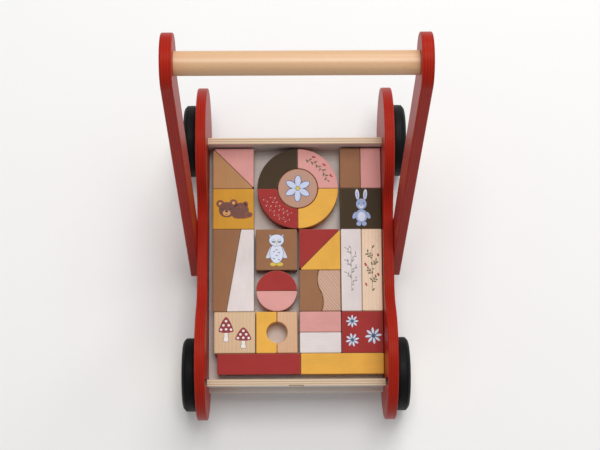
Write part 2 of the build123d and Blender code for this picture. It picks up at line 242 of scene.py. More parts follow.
@dataclass(frozen=True)
class PaintedWood(Finish):
    """Water-based toy paint rolled on sanded beech.

    The paint is thin and matt: fibres tell through it as faint lines, its depth varies a
    little from place to place, and the rounded rims are rubbed paler.
    """

    grain: Grain = Grain.LENGTHWISE
    fibre_mm: float = 0.9
    fibre_run: float = 0.06
    mottle_mm: float = 24.0
    speck_mm: float = 0.45
    rubbed_colour: str = "#F0DCC4"
    rub: float = 0.3
    roughness: float = 0.5
    gloss: float = 0.15

    def build(self) -> Material:
        """Build the material."""
        material, tree, shader, place, normal = self.begin()
        turned, drawn = self.lay_grain(tree, place, self.grain, 0.0, self.fibre_run)
        fibre = add_node(tree, "ShaderNodeTexNoise", {
            "Vector": drawn, "Scale": per_metre(self.fibre_mm), "Detail": 3.0, "Roughness": 0.6})
        mottle, speck = (add_node(tree, "ShaderNodeTexNoise", {
            "Vector": turned, "Scale": per_metre(size), "Detail": detail})
            for size, detail in ((self.mottle_mm, 4.0), (self.speck_mm, 2.0)))
        toned = self.shade(
            tree, self.colour, (fibre, (0.3, 0.75), (1.03, 0.94)), (mottle, MIDDLE, (0.95, 1.05)))
        steep = self.squareness(tree, normal, "Z")
        rubbed = self.stain(
            tree, toned, self.rubbed_colour, (steep, (0.97, 0.7), (0.0, 1.0)),
            (steep, (0.05, 0.3), (0.0, self.rub)), mottle)
        feed(tree, shader, {
            "Base Color": rubbed, "Specular IOR Level": self.gloss,
            "Roughness": self.read(
                tree, (speck, MIDDLE, (self.roughness - 0.05, self.roughness + 0.08))),
            "Normal": add_node(tree, "ShaderNodeBump", {
                "Height": fibre, "Strength": 0.2, "Distance": 0.08 * MM})})
        return material


@dataclass(frozen=True)
class ClearWood(Finish):
    """Beech or birch under a thin clear varnish.

    Broad growth bands run with the grain, fine pores make short darker dashes along it, and
    the varnish gives a soft even sheen.
    """

    band_colour: str = "#C08F5E"
    pore_colour: str = "#9A6B42"
    grain: Grain = Grain.LENGTHWISE
    shift: float = 0.0
    band_mm: float = 4.2
    band_depth: float = 0.55
    pore_mm: float = 0.5
    pore_run: float = 0.09
    cloud_mm: float = 16.0

    def build(self) -> Material:
        """Build the material."""
        material, tree, shader, place, _ = self.begin()
        _, drawn = self.lay_grain(tree, place, self.grain, self.shift, self.pore_run)
        bands = add_node(tree, "ShaderNodeTexWave", {
            "Vector": drawn, "Scale": band_scale(self.band_mm), "Distortion": 3.5, "Detail": 3.0,
            "Detail Scale": 1.2, "Detail Roughness": 0.6}, bands_direction="Y").outputs["Fac"]
        pores, clouds = (add_node(tree, "ShaderNodeTexNoise", {
            "Vector": drawn, "Scale": per_metre(size), "Detail": detail})
            for size, detail in ((self.pore_mm, 2.0), (self.cloud_mm, 4.0)))
        base = self.shade(tree, self.colour, (clouds, MIDDLE, (0.95, 1.05)))
        banded = self.stain(
            tree, base, self.band_colour, (bands, (0.2, 1.0), (0.0, self.band_depth)), clouds)
        feed(tree, shader, {
            "Base Color": self.stain(
                tree, banded, self.pore_colour, (pores, (0.6, 0.75), (0.0, 0.4))),
            "Roughness": 0.42, "Coat Weight": 0.15, "Coat Roughness": 0.3,
            "Normal": add_node(tree, "ShaderNodeBump", {
                "Height": pores, "Strength": 0.2, "Distance": 0.05 * MM})})
        return material


@dataclass(frozen=True)
class LacqueredPly(Finish):
    """Red lacquer sprayed on birch ply and rubbed down to a low, warm sheen.

    On the cut edges the layers of the ply tell through as fine darker streaks; the broad
    faces only have a slight orange peel.
    """

    colour: str = "#A9281C"
    streak_colour: str = "#6E100C"
    sheen: str = "#D9775A"
    ply_mm: float = 1.35
    streak_mm: float = 0.7
    streak_depth: float = 0.85
    peel_mm: float = 1.4
    mottle_mm: float = 45.0

    def build(self) -> Material:
        """Build the material."""
        material, tree, shader, place, normal = self.begin()
        across_plies = add_node(tree, "ShaderNodeMapping", {
            "Vector": place, "Scale": (1.0, 0.03, 0.03)})
        plies = add_node(tree, "ShaderNodeTexWave", {
            "Vector": place, "Scale": band_scale(2 * self.ply_mm), "Distortion": 0.6,
            "Detail": 1.0}, bands_direction="X").outputs["Fac"]
        streaks, mottle, peel = (add_node(tree, "ShaderNodeTexNoise", {
            "Vector": where, "Scale": per_metre(size), "Detail": detail})
            for where, size, detail in ((across_plies, self.streak_mm, 3.0),
                                        (place, self.mottle_mm, 3.0), (place, self.peel_mm, 2.0)))
        base = self.shade(tree, self.colour, (mottle, MIDDLE, (0.95, 1.06)))
        sideways = self.squareness(tree, normal, "X")
        streaked = self.stain(
            tree, base, self.streak_colour, (sideways, (0.6, 0.2), (0.0, self.streak_depth)),
            plies, streaks)
        feed(tree, shader, {
            "Base Color": streaked, "Roughness": 0.4, "Specular IOR Level": 0.15,
            "Specular Tint": linear(self.sheen), "Coat Weight": 0.02, "Coat Roughness": 0.25,
            "Normal": add_node(tree, "ShaderNodeBump", {
                "Height": peel, "Strength": 0.2, "Distance": 0.05 * MM})})
        return material


@dataclass(frozen=True)
class WashedBoard(Finish):
    """Birch ply washed with thin greyish white on its faces, its cut edges left bare.

    The wash is uneven and follows the face grain. The bare edges show pale and tan layers
    about as thick as a fingernail.
    """

    colour: str = "#DDD6D1"
    thin_wash: str = "#D9C9B6"
    edge_pale: str = "#E2CDB0"
    edge_dark: str = "#B6936D"
    layers: Layers = Layers.Z
    ply_mm: float = 1.4
    fibre_mm: float = 1.0
    fibre_run: float = 0.05
    wear_mm: float = 28.0

    def build(self) -> Material:
        """Build the material."""
        material, tree, shader, place, normal = self.begin()
        _, drawn = self.lay_grain(tree, place, Grain.ACROSS, 0.0, self.fibre_run)
        fibre, wear = (add_node(tree, "ShaderNodeTexNoise", {
            "Vector": where, "Scale": per_metre(size), "Detail": detail})
            for where, size, detail in ((drawn, self.fibre_mm, 4.0), (place, self.wear_mm, 5.0)))
        faces = self.stain(
            tree, self.shade(tree, self.colour), self.thin_wash,
            (fibre, (0.35, 0.75), (0.0, 0.9)), (wear, (0.35, 0.7), (0.2, 1.0)))
        plies = add_node(tree, "ShaderNodeTexWave", {
            "Vector": place, "Scale": band_scale(2 * self.ply_mm), "Distortion": 0.5,
            "Detail": 1.0}, bands_direction=self.layers.value).outputs["Fac"]
        edges = self.stain(
            tree, self.shade(tree, self.edge_pale), self.edge_dark, (plies, (0.3, 0.8), (0.0, 0.8)))
        square_on = self.squareness(tree, normal, self.layers.value)
        both = add_node(tree, "ShaderNodeMix", {
            0: self.read(tree, (square_on, (0.7, 0.9), (0.0, 1.0))), 6: edges, 7: faces},
            data_type="RGBA")
        feed(tree, shader, {
            "Base Color": both.outputs[2], "Roughness": 0.6,
            "Normal": add_node(tree, "ShaderNodeBump", {
                "Height": fibre, "Strength": 0.25, "Distance": 0.08 * MM})})
        return material


@dataclass(frozen=True)
class CloudyFinish(Finish):
    """A finish with broad clouds of a second colour over it, and a finer grit in it.

    Its roughness follows the clouds, and more_inputs holds any other shader inputs.
    """

    cloud: str = "#FFFFFF"
    cloud_mm: float = 10.0
    cloud_detail: float = 4.0
    cloud_span: Point = (0.35, 0.7)
    cloud_depth: float = 0.7
    grit_mm: float = 0.5
    grit_detail: float = 3.0
    grit_shade: Point | None = None
    relief_mm: float = 0.02
    relief_strength: float = 0.2
    more_inputs: dict[str, float] = field(default_factory=dict)
    roughness: Point = (0.4, 0.4)

    def build(self) -> Material:
        """Build the material."""
        material, tree, shader, place, _ = self.begin()
        clouds, grit = (add_node(tree, "ShaderNodeTexNoise", {
            "Vector": place, "Scale": per_metre(size), "Detail": detail})
            for size, detail in ((self.cloud_mm, self.cloud_detail),
                                 (self.grit_mm, self.grit_detail)))
        gritty = [(grit, MIDDLE, self.grit_shade)] if self.grit_shade else []
        rough_low, rough_high = self.roughness
        feed(tree, shader, {
            "Base Color": self.stain(
                tree, self.shade(tree, self.colour, *gritty), self.cloud,
                (clouds, self.cloud_span, (0.0, self.cloud_depth))),
            "Roughness": rough_low if rough_low == rough_high else self.read(
                tree, (clouds, MIDDLE, self.roughness)),
            "Normal": add_node(tree, "ShaderNodeBump", {
                "Height": grit, "Strength": self.relief_strength,
                "Distance": self.relief_mm * MM}), **self.more_inputs})
        return material


@dataclass(frozen=True)
class MouldedRubber(CloudyFinish):
    """Black thermoplastic rubber moulded on the wheel: dull, with a faint bloom of dust."""

    colour: str = "#0A0B0C"
    cloud: str = "#1D1E20"
    cloud_mm: float = 15.0
    cloud_span: Point = (0.45, 0.75)
    cloud_depth: float = 0.3
    grit_mm: float = 0.6
    grit_shade: Point | None = (0.85, 1.15)
    relief_mm: float = 0.06
    relief_strength: float = 0.3
    roughness: Point = (0.5, 0.66)
    more_inputs: dict[str, float] = field(default_factory=lambda: {"Specular IOR Level": 0.2})


@dataclass(frozen=True)
class ZincSteel(CloudyFinish):
    """Zinc-plated steel: a cool grey metal, its plating slightly cloudy and finely scratched."""

    colour: str = "#C4C6C8"
    cloud: str = "#9FA3A8"
    cloud_mm: float = 3.0
    grit_mm: float = 0.35
    grit_detail: float = 2.0
    roughness: Point = (0.26, 0.42)
    more_inputs: dict[str, float] = field(default_factory=lambda: {"Metallic": 1.0})


@dataclass(frozen=True)
class MouldedNylon(CloudyFinish):
    """Natural nylon, injection moulded: milky off-white with a soft waxy sheen."""

    colour: str = "#E6E1D3"
    cloud: str = "#D3CBB6"
    cloud_mm: float = 4.0
    cloud_detail: float = 3.0
    grit_mm: float = 4.0
    relief_mm: float = 0.03
    more_inputs: dict[str, float] = field(default_factory=lambda: {"IOR": 1.53})


@dataclass(frozen=True)
class EvenFinish(Finish):
    """A plain matt surface whose brightness varies a little from place to place."""

    patch_mm: float = 1.6
    detail: float = 3.0
    spread: Point = (0.9, 1.08)
    roughness: float = 0.55

    def build(self) -> Material:
        """Build the material."""
        material, tree, shader, place, _ = self.begin()
        patch = add_node(tree, "ShaderNodeTexNoise", {
            "Vector": place, "Scale": per_metre(self.patch_mm), "Detail": self.detail})
        feed(tree, shader, {
            "Base Color": self.shade(tree, self.colour, (patch, MIDDLE, self.spread)),
            "Roughness": self.roughness})
        return material


@dataclass(frozen=True)
class PrintInk(EvenFinish):
    """Ink pressed on the painted wood by a soft pad: a thin matt film, a little uneven."""


@dataclass(frozen=True)
class StudioPaper(EvenFinish):
    """Matt white background paper, with a barely visible tooth."""

    colour: str = "#FBFBFA"
    patch_mm: float = 2.0
    detail: float = 2.0
    spread: Point = (0.99, 1.0)
    roughness: float = 0.9


# ------------------------------------------------------------------ geometry trees

PETAL_CORNERS, LEAF_CORNERS = 18, 12
HOOP_CORNERS, BEAD_CORNERS = 96, 6
SWAY = 0.25  # radians a leaf may lean either way
LEAF_SCALE: Point = (0.75, 1.1)  # from the smallest leaf to the largest


def new_tree(name: str, sizes: dict[str, str]) -> tuple[Tree, Node, Node]:
    """Start a geometry tree with named inputs.

    Args:
        name: the tree's name.
        sizes: each input's name and kind of socket.

    Returns:
        The tree, its group input and its group output.
    """
    tree = bpy.data.node_groups.new(name, "GeometryNodeTree")
    face = tree.interface
    face.new_socket("Geometry", in_out="INPUT", socket_type="NodeSocketGeometry")
    face.new_socket("Geometry", in_out="OUTPUT", socket_type="NodeSocketGeometry")
    for size, kind in sizes.items():
        face.new_socket(size, in_out="INPUT", socket_type="NodeSocket" + kind)
    return tree, tree.nodes.new("NodeGroupInput"), tree.nodes.new("NodeGroupOutput")


def end_tree(tree: Tree, shape: Socket, material: Socket, result: Node) -> None:
    """Make the instances real, give them their material and send them out."""
    real = add_node(tree, "GeometryNodeRealizeInstances", {0: shape})
    inked = add_node(tree, "GeometryNodeSetMaterial", {0: real, "Material": material})
    tree.links.new(inked.outputs[0], result.inputs[0])


def thickened(tree: Tree, flat: Socket, thickness: Socket) -> Socket:
    """Raise a flat face into a closed plate.

    Args:
        tree: the geometry tree.
        flat: one flat face that looks up.
        thickness: how far it is raised.

    Returns:
        The closed plate.
    """
    raised = add_node(tree, "GeometryNodeExtrudeMesh", {
        "Mesh": flat, "Offset Scale": thickness, "Individual": False}, mode="FACES")
    under = add_node(tree, "GeometryNodeFlipFaces", {0: flat})
    both = add_node(tree, "GeometryNodeJoinGeometry", {0: [raised, under]})
    return add_node(tree, "GeometryNodeMergeByDistance", {
        0: both, "Distance": SEAM}).outputs[0]


def leaf_face(tree: Tree, corners: int, pull: Socket, start: Socket, length: Socket,
              width: Socket) -> Socket:
    """A flat leaf along X: round where pull is 0, with a sharp tip at each end where it is 1.

    Args:
        tree: the geometry tree.
        corners: how many corners the outline has.
        pull: how far the outline is pulled in towards its ends.
        start: where the leaf starts along X.
        length: its length.
        width: its width.

    Returns:
        The flat face.
    """
    disc = add_node(tree, "GeometryNodeMeshCircle", {
        "Vertices": corners, "Radius": 1.0}, fill_type="NGON")
    where = add_node(tree, "GeometryNodeInputPosition")
    split = add_node(tree, "ShaderNodeSeparateXYZ", {0: where})
    reach = add_node(tree, "ShaderNodeMath", {0: split.outputs["Y"]}, operation="ABSOLUTE")
    narrow = add_node(tree, "ShaderNodeMix", {
        "Factor": pull, "A": 1.0, "B": reach}, data_type="FLOAT")
    half = add_node(tree, "ShaderNodeMath", {0: width, 1: 0.5}, operation="MULTIPLY")
    across = add_node(tree, "ShaderNodeMath", {
        0: split.outputs["Y"], 1: narrow}, operation="MULTIPLY")
    wide = add_node(tree, "ShaderNodeMath", {
        0: across, 1: half}, operation="MULTIPLY")
    share = add_node(tree, "ShaderNodeMath", {
        0: split.outputs["X"], 1: 0.5, 2: 0.5}, operation="MULTIPLY_ADD")
    along = add_node(tree, "ShaderNodeMath", {
        0: share, 1: length, 2: start}, operation="MULTIPLY_ADD")
    corner = add_node(tree, "ShaderNodeCombineXYZ", {"X": along, "Y": wide})
    return add_node(tree, "GeometryNodeSetPosition", {
        0: disc, "Position": corner}).outputs[0]


def petal_ring() -> Tree:
    """A ring of equal petals round a middle."""
    tree, given, result = new_tree("petal_ring", {
        "Petals": "Int", "Length": "Float", "Width": "Float", "Pull": "Float", "Hub": "Float",
        "Turn": "Float", "Thickness": "Float", "Middle": "Vector", "Ink": "Material"})
    size = given.outputs
    face = leaf_face(tree, PETAL_CORNERS, size["Pull"], size["Hub"], size["Length"], size["Width"])
    petal = thickened(tree, face, size["Thickness"])
    stalks = add_node(tree, "GeometryNodePoints", {"Count": size["Petals"]})
    number = add_node(tree, "GeometryNodeInputIndex")
    share = add_node(tree, "ShaderNodeMath", {
        0: number, 1: size["Petals"]}, operation="DIVIDE")
    angle = add_node(tree, "ShaderNodeMath", {
        0: share, 1: 2 * math.pi, 2: size["Turn"]}, operation="MULTIPLY_ADD")
    turn = add_node(tree, "ShaderNodeCombineXYZ", {"Z": angle})
    turned = add_node(tree, "FunctionNodeEulerToRotation", {0: turn})
    ring = add_node(tree, "GeometryNodeInstanceOnPoints", {
        "Points": stalks, "Instance": petal, "Rotation": turned})
    placed = add_node(tree, "GeometryNodeTransform", {
        0: ring, "Translation": size["Middle"]})
    end_tree(tree, placed, size["Ink"], result)
    return tree


def leafy_twig() -> Tree:
    """Leaves or berries set left and right along stems, and the stems themselves."""
    tree, given, result = new_tree("leafy_twig", {
        "Leaves": "Int", "Leaf Length": "Float", "Leaf Width": "Float", "Pull": "Float",
        "Stalk": "Float", "Splay": "Float", "Stem Width": "Float", "Thickness": "Float",
        "Seed": "Int", "Middle": "Vector", "Ink": "Material"})
    size = given.outputs
    stems = add_node(tree, "GeometryNodeMeshToCurve", {0: size["Geometry"]})
    nodes = add_node(tree, "GeometryNodeResampleCurve", {
        "Curve": stems, "Count": size["Leaves"]})
    face = leaf_face(
        tree, LEAF_CORNERS, size["Pull"], size["Stalk"], size["Leaf Length"], size["Leaf Width"])
    leaf = thickened(tree, face, size["Thickness"])
    number = add_node(tree, "GeometryNodeInputIndex")
    odd = add_node(tree, "ShaderNodeMath", {0: number, 1: 2.0}, operation="MODULO")
    side = add_node(tree, "ShaderNodeMath", {
        0: odd, 1: 2.0, 2: -1.0}, operation="MULTIPLY_ADD")
    sway = add_node(tree, "FunctionNodeRandomValue", {
        2: -SWAY, 3: SWAY, "Seed": size["Seed"]}, data_type="FLOAT")
    splay = add_node(tree, "ShaderNodeMath", {
        0: side, 1: size["Splay"], 2: sway.outputs[1]}, operation="MULTIPLY_ADD")
    spread = add_node(tree, "ShaderNodeCombineXYZ", {"Z": splay})
    spread_turn = add_node(tree, "FunctionNodeEulerToRotation", {0: spread})
    ahead = add_node(tree, "GeometryNodeInputTangent")
    along = add_node(tree, "FunctionNodeAlignRotationToVector", {
        "Vector": ahead}, axis="X", pivot_axis="Z")
    turned = add_node(tree, "FunctionNodeRotateRotation", {
        0: along, 1: spread_turn}, rotation_space="LOCAL")
    growth = add_node(tree, "FunctionNodeRandomValue", {
        2: LEAF_SCALE[0], 3: LEAF_SCALE[1], "Seed": size["Seed"]}, data_type="FLOAT")
    leaves = add_node(tree, "GeometryNodeInstanceOnPoints", {
        "Points": nodes, "Instance": leaf, "Rotation": turned,
        "Scale": growth.outputs[1]})
    section = add_node(tree, "GeometryNodeCurvePrimitiveQuadrilateral", {
        0: size["Stem Width"], 1: size["Stem Width"]})
    rod = add_node(tree, "GeometryNodeCurveToMesh", {
        "Curve": stems, "Profile Curve": section, "Fill Caps": True})
    press = add_node(tree, "ShaderNodeMath", {
        0: size["Thickness"], 1: size["Stem Width"]}, operation="DIVIDE")
    pressed = add_node(tree, "ShaderNodeCombineXYZ", {
        "X": 1.0, "Y": 1.0, "Z": press})
    half_film = add_node(tree, "ShaderNodeMath", {
        0: size["Thickness"], 1: 0.5}, operation="MULTIPLY")
    lift = add_node(tree, "ShaderNodeCombineXYZ", {"Z": half_film})
    stem = add_node(tree, "GeometryNodeTransform", {
        0: rod, "Scale": pressed, "Translation": lift})
    twig = add_node(tree, "GeometryNodeJoinGeometry", {0: [stem, leaves]})
    placed = add_node(tree, "GeometryNodeTransform", {
        0: twig, "Translation": size["Middle"]})
    end_tree(tree, placed, size["Ink"], result)
    return tree


def tyre_ribs() -> Tree:
    """Fine round ribs side by side round a tyre's tread, with the axle along X."""
    tree, given, result = new_tree("tyre_ribs", {
        "Ribs": "Int", "Spacing": "Float", "Radius": "Float", "Bead": "Float",
        "First": "Vector", "Rubber": "Material"})
    size = given.outputs
    hoop = add_node(tree, "GeometryNodeCurvePrimitiveCircle", {
        "Resolution": HOOP_CORNERS, "Radius": size["Radius"]})
    bead = add_node(tree, "GeometryNodeCurvePrimitiveCircle", {
        "Resolution": BEAD_CORNERS, "Radius": size["Bead"]})
    flat_rib = add_node(tree, "GeometryNodeCurveToMesh", {
        "Curve": hoop, "Profile Curve": bead})
    rib = add_node(tree, "GeometryNodeTransform", {
        0: flat_rib, "Rotation": (0.0, math.pi / 2, 0.0)})
    step = add_node(tree, "ShaderNodeCombineXYZ", {"X": size["Spacing"]})
    row = add_node(tree, "GeometryNodeMeshLine", {
        "Count": size["Ribs"], "Start Location": size["First"], "Offset": step})
    tread = add_node(tree, "GeometryNodeInstanceOnPoints", {
        "Points": row, "Instance": rib})
    end_tree(tree, tread, size["Rubber"], result)
    return tree


def grow(name: str, base: bpy.types.Mesh, tree: Tree, sizes: dict, body: str) -> Object:
    """Run a geometry tree once and keep what it makes as a plain mesh.

    Args:
        name: the piece's name.
        base: the mesh the tree starts from.
        tree: the geometry tree.
        sizes: each input's value, in metres and radians.
        body: the body the piece rides on.

    Returns:
        The finished piece.
    """
    piece = place_in_scene(name, base)
    modifier = piece.modifiers.new(tree.name, "NODES")
    modifier.node_group = tree
    for item in tree.interface.items_tree:
        if item.in_out == "INPUT" and item.name in sizes:
            modifier[item.identifier] = sizes[item.name]
    depsgraph = bpy.context.evaluated_depsgraph_get()
    made = bpy.data.meshes.new_from_object(piece.evaluated_get(depsgraph), depsgraph=depsgraph)
    piece.modifiers.clear()
    piece.data = made
    made.name = name
    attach(piece, body)
    LOG.info("grew %s with %d faces", name, len(made.polygons))
    return piece


# ------------------------------------------------------------------ shapes of ink

def oval(x: float, y: float, rx: float, ry: float, turn: float = 0.0,
         steps: int = 32) -> list[Point]:
    """An anticlockwise oval.

    Args:
        x: its middle.
        y: its middle.
        rx: half its width.
        ry: half its height.
        turn: degrees anticlockwise.
        steps: how many points it has.

    Returns:
        The outline's points.
    """
    c, s = math.cos(math.radians(turn)), math.sin(math.radians(turn))
    ring = [(rx * math.cos(k * math.tau / steps), ry * math.sin(k * math.tau / steps))
            for k in range(steps)]
    return [(x + c * u - s * v, y + s * u + c * v) for u, v in ring]


def rounded(corners: list[Point], steps: int = 6) -> list[Point]:
    """A smooth closed outline through a few points.

    Args:
        corners: the points it passes through.
        steps: how many points each stretch is divided into.

    Returns:
        The outline's points.
    """
    count = len(corners)
    outline = []
    for k in range(count):
        a, b, c, d = (Vector(corners[(k + i) % count]) for i in (-1, 0, 1, 2))
        for j in range(steps):
            t = j / steps
            p = 0.5 * (2 * b + (c - a) * t + (2 * a - 5 * b + 4 * c - d) * t ** 2
                       + (3 * b - a - 3 * c + d) * t ** 3)
            outline.append((p.x, p.y))
    return outline


def arc(x: float, y: float, radius: float, start: float, end: float) -> list[Point]:
    """Points along a circle from one angle to another, in degrees."""
    steps = 8
    angles = [math.radians(start + (end - start) * k / steps) for k in range(steps + 1)]
    return [(x + radius * math.cos(a), y + radius * math.sin(a)) for a in angles]


def side_steps(points: list[Point], closed: bool) -> list[Vector]:
    """The unit normal at each point of a line, to its right."""
    count = len(points)
    normals = []
    for k in range(count):
        before = points[k - 1] if closed or k else points[0]
        after = points[(k + 1) % count] if closed or k < count - 1 else points[-1]
        along = Vector(after) - Vector(before)
        normals.append(Vector((along.y, -along.x)).normalized())
    return normals


def widened(outline: list[Point], margin: float) -> list[Point]:
    """An anticlockwise outline moved outwards by a margin."""
    steps = side_steps(outline, closed=True)
    return [(x + n.x * margin, y + n.y * margin) for (x, y), n in zip(outline, steps)]


def ribbon(line: list[Point], width: float) -> list[Point]:
    """The outline of a pen stroke along an open line, finer at its two ends."""
    tip = 0.35  # how wide the ends are, as a share of the middle
    steps = side_steps(line, closed=False)
    last = len(line) - 1
    halves = [width / 2 * (tip + (1 - tip) * math.sin(math.pi * k / last)) for k in range(last + 1)]
    right = [(x + n.x * h, y + n.y * h) for (x, y), n, h in zip(line, steps, halves)]
    left = [(x - n.x * h, y - n.y * h) for (x, y), n, h in zip(line, steps, halves)]
    return right + left[::-1]


def anticlockwise(outline: list[Point]) -> list[Point]:
    """The outline, turned round if it ran clockwise."""
    area = sum(a[0] * b[1] - b[0] * a[1] for a, b in zip(outline, outline[1:] + outline[:1]))
    return outline if area > 0 else outline[::-1]


def plate(outline: list[Point], bottom: float, top: float,
          first: int = 0) -> tuple[list[Point3], list[list[int]]]:
    """A closed plate on an anticlockwise outline.

    Args:
        outline: the outline.
        bottom: the height of its underside.
        top: the height of its top.
        first: the number its first corner will have.

    Returns:
        Its corners and its faces.
    """
    count = len(outline)
    low = list(range(first, first + count))
    high = [k + count for k in low]
    sides = [[low[k - 1], low[k], high[k], high[k - 1]] for k in range(count)]
    return [(x, y, z) for z in (bottom, top) for x, y in outline], [low[::-1], high, *sides]


class Ink(Enum):
    """The printing inks."""

    BEAR_BROWN = "#6E3A2A"
    BEAR_DARK = "#451308"
    BEAR_TAN = "#D99A55"
    BEAR_LINE = "#A14E14"
    NEAR_BLACK = "#231B1B"
    PALE_BLUE = "#9FB1DA"
    LILAC_WHITE = "#DDE3F4"
    SLATE = "#4E5A88"
    OWL_GREY = "#CED6E6"
    BEAK_YELLOW = "#D9C22E"
    CAP_RED = "#8F1F2A"
    PAPER_WHITE = "#F3EEEA"
    LEAF_GREEN = "#5E5F3C"
    BERRY_RED = "#AE2433"
    TWIG_GREY = "#8B8786"
    BLUSH = "#E9C4BE"
    DEEP_BLUE = "#3F6C8E"
    DAISY_BLUE = "#CBD6F0"


@dataclass
class InkBox:
    """The inks, each made once when it is first used."""

    made: dict[Ink, Material] = field(default_factory=dict)

    def take(self, ink: Ink) -> Material:
        """The material of one ink."""
        if ink not in self.made:
            self.made[ink] = PrintInk(f"print_ink_{ink.name.lower()}", colour=ink.value).build()
        return self.made[ink]


@dataclass
class InkSheet:
    """One printed picture: flat closed shapes in thin layers on a block's top face.

    The shapes are in millimetres from the middle of that face.
    """

    name: str
    block: str
    inks: InkBox
    line: Ink = Ink.SLATE
    line_mm: float = 0.3
    sunk_mm: float = 0.03
    film_mm: float = 0.05
    layer_mm: float = 0.04
    shapes: list[tuple[list[Point], Ink, int]] = field(default_factory=list)

    def lay(self, outline: list[Point], ink: Ink, layer: int) -> None:
        """Add a filled shape."""
        self.shapes.append((outline, ink, layer))

    def lay_outlined(self, outline: list[Point], ink: Ink, layer: int,
                     line: Ink | None = None, line_mm: float | None = None) -> None:
        """Add a filled shape with a drawn line round it.

        Args:
            outline: the filled shape. The line shows outside it if it runs anticlockwise, and
                lies hidden under the filling if it runs clockwise.
            ink: its ink.
            layer: the line's layer; the filling lies on the next one.
            line: the line's ink, if not the picture's.
            line_mm: the line's width, if not the picture's.
        """
        self.lay(widened(outline, line_mm or self.line_mm), line or self.line, layer)
        self.lay(outline, ink, layer + 1)

    def print(self) -> Object:
        """Turn the shapes into one mesh of closed plates that rides on the block."""
        middle = top_middle(self.block)
        used = sorted({ink for _, ink, _ in self.shapes}, key=lambda ink: ink.name)
        corners, faces, numbers = [], [], []
        for outline, ink, layer in self.shapes:
            raised, sides = plate(anticlockwise(outline), -self.sunk_mm,
                                  self.film_mm + layer * self.layer_mm, len(corners))
            corners += [middle + Vector(corner) * MM for corner in raised]
            faces += sides
            numbers += [used.index(ink)] * len(sides)
        mesh = bpy.data.meshes.new(self.name)
        mesh.from_pydata(corners, [], faces)
        for ink in used:
            mesh.materials.append(self.inks.take(ink))
        mesh.polygons.foreach_set("material_index", numbers)
        mesh.update()
        piece = place_in_scene(self.name, mesh)
        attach(piece, self.block)
        LOG.info("printed %s on %s", self.name, self.block)
        return piece


# ------------------------------------------------------------------ the trolley

@dataclass
class Tray:
    """The tray: two lacquered side panels, three washed boards and their screws."""

    panels: tuple[str, ...] = ("left_side_panel", "right_side_panel")
    walls: tuple[str, ...] = ("front_wall", "rear_wall")

    def dress(self, lacquer: Material, steel: Material) -> None:
        """Dress the panels, the boards and the screws."""
        dress(lacquer, *self.panels)
        dress(WashedBoard("washed_birch_ply_wall", layers=Layers.Y).build(), *self.walls)
        dress(WashedBoard("washed_birch_ply_floor", layers=Layers.Z).build(), "tray_floor")
        dress(steel, "wall_screws")


@dataclass
class Handle:
    """The handle: two lacquered bars, a beech push bar and the fasteners."""

    bars: tuple[str, ...] = ("left_handle_bar", "right_handle_bar")
    fasteners: tuple[str, ...] = ("push_bar_screws", "handle_bolts", "handle_inserts")

    def dress(self, lacquer: Material, steel: Material) -> None:
        """Dress the bars, the push bar and the fasteners."""
        dress(lacquer, *self.bars)
        dress(ClearWood(
            "varnished_beech_push_bar", colour="#D6AD84", band_colour="#C6976C",
            pore_colour="#A87A52", grain=Grain.ACROSS, band_mm=6.0, band_depth=0.5).build(),
            "push_bar")
        dress(steel, *self.fasteners)


@dataclass
class Wheels:
    """The four wheels on their two axles, with fine ribs round each tyre."""

    ribs: int = 6
    rib_spacing: float = 2.1 * MM
    rib_bead: float = 0.32 * MM
    rib_proud: float = 0.14 * MM

    def dress(self, rubber: Material, steel: Material) -> None:
        """Dress the wheels, the axles and their hardware."""
        beech = ClearWood(
            "varnished_beech_wheel", colour="#E3BE93", grain=Grain.LENGTHWISE,
            shift=0.31, band_mm=5.0).build()
        nylon = MouldedNylon("natural_nylon_bush").build()
        for corner in self.corners():
            dress(beech, f"{corner}_wheel_disc")
            dress(rubber, f"{corner}_wheel_tyre")
            dress(nylon, f"{corner}_wheel_bush")
        dress(steel, "front_axle", "rear_axle", "axle_washers", "axle_caps")

    def corners(self) -> list[str]:
        """The four wheels' names, as front_left and so on."""
        return [f"{end}_{side}" for end in ("front", "rear") for side in ("left", "right")]

    def rib_tyres(self, rubber: Material) -> None:
        """Lay the ribs round each tyre."""
        tree = tyre_ribs()
        for corner in self.corners():
            low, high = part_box(f"{corner}_wheel_tyre")
            middle = (low + high) / 2
            middle.x -= (self.ribs - 1) / 2 * self.rib_spacing
            rib = grow(f"{corner}_tyre_ribs", bpy.data.meshes.new("tread"), tree, {
                "Ribs": self.ribs, "Spacing": self.rib_spacing, "Bead": self.rib_bead,
                "Radius": (high.z - low.z) / 2 - self.rib_bead + self.rib_proud,
                "First": tuple(middle), "Rubber": rubber}, f"{corner}_wheel")


# ------------------------------------------------------------------ the blocks

class Paint(Enum):
    """The block paints."""

    TAN = "#BA8B5D"
    BROWN = "#9A6C4A"
    DARK = "#41311B"
    PINK = "#DFA09A"
    RED = "#A5302D"
    YELLOW = "#EDB34A"
    OCHRE = "#D59B31"
    WHITE = "#E7DEDC"


